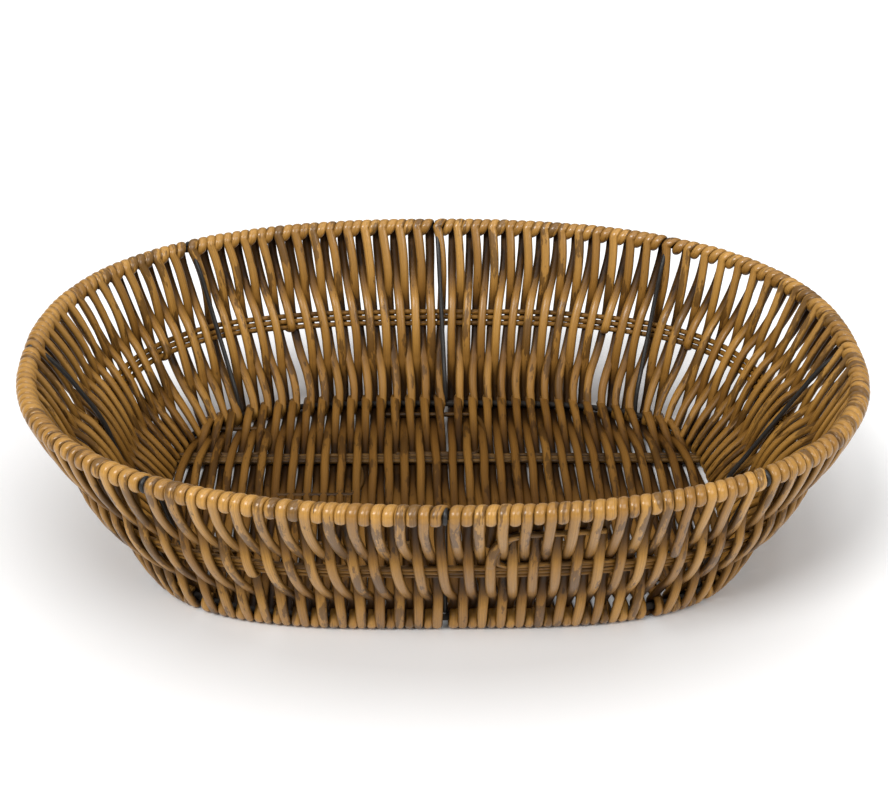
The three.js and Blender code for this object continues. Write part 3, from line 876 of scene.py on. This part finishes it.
# along the bar, a half ellipse across the floor, and back
def barLoopPath(turnX, farY, length):
    bar = floor["barOffset"]
    near = bar + (barLoop["beside"] if farY > bar else -barLoop["beside"])
    half = (farY - near) / 2
    angle = np.linspace(-np.pi / 2, np.pi / 2, 40)
    run, back = np.linspace(-barLoop["run"], 0, 30)[:-1], np.linspace(0, -length, 30)[1:]
    x = np.concatenate([turnX + run, turnX + barLoop["bulge"] * np.cos(angle), turnX + back])
    y = np.concatenate([near + 0 * run, near + half + half * np.sin(angle), farY + 0 * back])
    return np.stack([x, y, np.full_like(x, floorMiddle + barLoop["rise"])], -1)


loopPaths = np.stack([barLoopPath(*loop) for loop in barLoops])
loopAhead = unit(np.gradient(loopPaths, axis=1))
# painted shade: the loops are painted at 0.9, with lift 1
loopPiece = sweepStrands("bar_loops", loopPaths, np.cross(loopAhead, [0, 0, 1.0]),
                         barLoop["width"], barLoop["thickness"],
                         dice.uniform(0, 100, 3), [0.4, 0.5, 0.3], 1.0, 0.9, sides=10)
finishPiece(loopPiece, shadedBarWicker, [f"bar_strand_{i + 1}" for i in range(6)])

for name, fallHere in (("rim_wire", 0.0), ("foot_wire", 1.0)):
    ring, up = ringPath(fallHere, 480, 0.0)
    across = 2 * wall["wireRadius"]
    wire = sweepStrands(name + "_round", ring, up, across, across, [1.0], [0.5],
                        closed=True, sides=14, squareness=2.0)
    finishPiece(wire, dullWire, [name])


rib = {
    "inset": 5.6,             # how far inside the middle of the wall
    "topFall": 0.03,
    "bottomFall": 0.985,
}


# a rib: an arc over the rim wire, then down the inside of the wall to the foot wire
def ribPaths():
    fall = np.linspace(rib["topFall"], rib["bottomFall"], 60)[None]
    place = np.arange(8.0)[:, None]
    centre, around, outward, _ = onWall(fall, arcAt(fall, place + 0 * fall))
    bow = smoothThrough(fall, [0, 0.06, 0.14, 0.3, 0.52, 0.75, 0.9, 0.97, 1],
                        [0.5, 0.62, 0.9, 1, 1, 1, 0.92, 0.5, 0.2])
    bow = np.repeat(bow, 8, 0)
    # the left end rib passes through the weave half way down
    bow[4] = smoothThrough(fall[0], [0, 0.12, 0.3, 0.5, 0.65, 0.8, 1], [0.5, 0.9, 1, 0.8, 0.1, -0.3, 0])
    down = centre - outward * (rib["inset"] * bow)[..., None]

    turn = np.linspace(-0.7, np.pi - 0.1, 22)[None, :, None]
    centre, overAround, outward, up = onWall(0.0, arcAt(0.0, place + 0 * turn[..., 0]))
    reach = wall["wireRadius"] + wall["ribRadius"]
    over = centre + reach * (np.cos(turn) * outward + np.sin(turn) * up)
    return np.concatenate([over, down], 1), np.concatenate([overAround, around], 1)


path, around = ribPaths()
ribPiece = sweepStrands("ribs", path, around, 2 * wall["ribRadius"], 2 * wall["ribRadius"], np.arange(8.0),
                        np.full(8, 0.5), sides=12, squareness=2.0)
finishPiece(ribPiece, blackWire, [f"rib_{i + 1}" for i in range(8)])
print("band, bars and wires done")


stage = {
    "size": 8.0,
    "grey": 0.82,
    "glow": 0.3,
    "glowScale": (4.4, 5.4, 0),
    "worldStrength": 0.3,
    "keyPower": 1.9,
    "fillPower": 1.0,
    "topPower": 0.6,
}


# a pale matt ground that also glows a little where only the camera sees it, but not around the foot
def makePaleGround(colour):
    material = bpy.data.materials.new("paleGround")
    tree, add = nodeTree(material)
    path = add("ShaderNodeLightPath")
    matt = add("ShaderNodeBsdfDiffuse", {0: colour})
    place = add("ShaderNodeTexCoord")
    scaled = add("ShaderNodeVectorMath", {0: place.outputs["Object"], 1: stage["glowScale"]},
                 operation="MULTIPLY")
    distance = add("ShaderNodeVectorMath", {0: scaled.outputs[0]}, operation="LENGTH")
    away = add("ShaderNodeMapRange", {0: distance.outputs["Value"], 1: 0.72, 2: 1.15, 3: 0,
                                      4: stage["glow"]})
    seen = add("ShaderNodeMath", {0: path.outputs["Is Camera Ray"], 1: away.outputs[0]},
               operation="MULTIPLY")
    glow = add("ShaderNodeEmission", {0: (1, 1, 1, 1), 1: seen.outputs[0]})
    both = add("ShaderNodeAddShader", {0: matt.outputs[0], 1: glow.outputs[0]})
    add("ShaderNodeOutputMaterial", {0: both.outputs[0]})
    return material


bpy.ops.mesh.primitive_plane_add(size=stage["size"])
ground = bpy.context.object
ground.name = "ground"
ground.data.materials.append(makePaleGround((stage["grey"], stage["grey"], stage["grey"], 1)))

scene = bpy.context.scene
world = bpy.data.worlds.new("studio")
scene.world = world
tree, add = nodeTree(world)
lightPath = add("ShaderNodeLightPath")
light = add("ShaderNodeBackground", {0: (1, 1, 1, 1), 1: stage["worldStrength"]})
white = add("ShaderNodeBackground", {0: (1, 1, 1, 1), 1: 1.0})
mix = add("ShaderNodeMixShader", {0: lightPath.outputs["Is Camera Ray"], 1: light.outputs[0],
                                  2: white.outputs[0]})
add("ShaderNodeOutputWorld", {0: mix.outputs[0]})


# a far soft light, as from a large window; angles in degrees, the azimuth anticlockwise from +X
def softLight(name, strength, azimuth, elevation, spread):
    data = bpy.data.lights.new(name, "SUN")
    data.energy = strength
    data.angle = math.radians(spread)
    lamp = bpy.data.objects.new(name, data)
    bpy.context.collection.objects.link(lamp)
    azimuth, elevation = math.radians(azimuth), math.radians(elevation)
    toward = Vector((math.cos(azimuth) * math.cos(elevation), math.sin(azimuth) * math.cos(elevation),
                     math.sin(elevation)))
    lamp.rotation_euler = toward.to_track_quat("Z", "Y").to_euler()


softLight("key", stage["keyPower"], 232, 50, 22)
softLight("fill", stage["fillPower"], 310, 42, 35)
softLight("top", stage["topPower"], 90, 80, 50)

camera = {
    "distance": 0.9075,       # to the middle of the rim
    "elevation": 26.94,
    "pitch": 28.53,           # how far the view looks down
    "pan": 1.20,              # to the right
    "shift": -0.0188,         # sideways place
    "turn": 0.36,             # of the basket under the camera
    "lens": 77.03,
}


# the camera stands off the rim's middle and looks down at it, and is turned back as the basket is turned
def placeCamera():
    data = bpy.data.cameras.new("camera")
    data.lens = camera["lens"]
    data.sensor_width = 36
    data.sensor_fit = "HORIZONTAL"
    data.clip_start = 0.02
    view = bpy.data.objects.new("camera", data)
    bpy.context.collection.objects.link(view)
    elevation, pitch, pan, turn = (math.radians(camera[k]) for k in ("elevation", "pitch", "pan", "turn"))
    place = Vector((camera["shift"], -camera["distance"] * math.cos(elevation),
                    camera["distance"] * math.sin(elevation)))
    turnBack = Matrix.Rotation(-turn, 4, "Z")
    forward = Vector((math.sin(pan), math.cos(pan) * math.cos(pitch), -math.cos(pan) * math.sin(pitch)))
    up = Vector((0, math.sin(pitch), math.cos(pitch)))
    right = forward.cross(up).normalized()
    axes = Matrix((right, right.cross(forward), -forward)).transposed().to_4x4()
    rimMiddle = Matrix.Translation((0, 0, rimSize[2] * mm))
    view.matrix_world = rimMiddle @ turnBack @ Matrix.Translation(place) @ axes
    scene.camera = view


placeCamera()
print("ground, light and camera done")
scene.view_settings.view_transform = "Standard"
